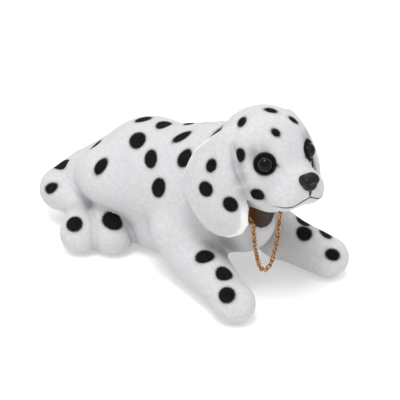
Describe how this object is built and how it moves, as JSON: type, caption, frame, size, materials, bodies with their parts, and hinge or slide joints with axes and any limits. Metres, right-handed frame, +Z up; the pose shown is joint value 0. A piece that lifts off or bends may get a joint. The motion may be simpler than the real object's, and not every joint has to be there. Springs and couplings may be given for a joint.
{
  "type": "nodding dog",
  "caption": "Flocked nodding-head spotted puppy lying down: hollow body, head hung on a wire across the neck and balanced by a weight, and a gilt chain hanging from the neck opening.",
  "frame": {"origin": "on the flat underside, on the body's middle line, about midway between the front paws and the tail", "axes": "+Z up, the puppy faces -Y, its left side is +X"},
  "size_m": [0.11, 0.2207, 0.121],
  "materials": {
    "flock_white": "matte",
    "plastic_brown": "satin",
    "plastic_black": "gloss",
    "eye_surround": "satin",
    "nose_black": "gloss",
    "wire_steel": "satin",
    "weight_iron": "satin",
    "chain_gilt": "satin"
  },
  "bodies": {
    "body": {"body_shell_right": "flock_white", "body_shell_left": "flock_white", "bridge_socket_right": "plastic_brown", "bridge_socket_left": "plastic_brown", "bridge_wire": "wire_steel", "chain_strands": "chain_gilt"},
    "hanger": {"hanger": "wire_steel"},
    "head": {"head_shell": "flock_white", "ear_right": "flock_white", "ear_left": "flock_white", "eye_right": "plastic_black", "eye_left": "plastic_black", "eye_ring_right": "eye_surround", "eye_ring_left": "eye_surround", "nose": "nose_black", "neck_stalk": "plastic_brown", "balance_weight": "weight_iron", "weight_screw": "wire_steel"},
    "chain_front": {"chain_front": "chain_gilt"}
  },
  "joints": [
    {"name": "head_nod", "type": "hinge", "parent": "body", "child": "hanger", "pos_m": [0, -0.045, 0.0655], "axis": [1, 0, 0], "range_deg": [-7, 11]},
    {"name": "head_turn", "type": "hinge", "parent": "hanger", "child": "head", "pos_m": [0, -0.045, 0.0655], "axis": [0, 0, 1], "range_deg": [-6, 22]},
    {"name": "chain_swing", "type": "hinge", "parent": "body", "child": "chain_front", "pos_m": [0, -0.0702, 0.049], "axis": [1, 0, 0], "range_deg": [-12, 4]}
  ]
}
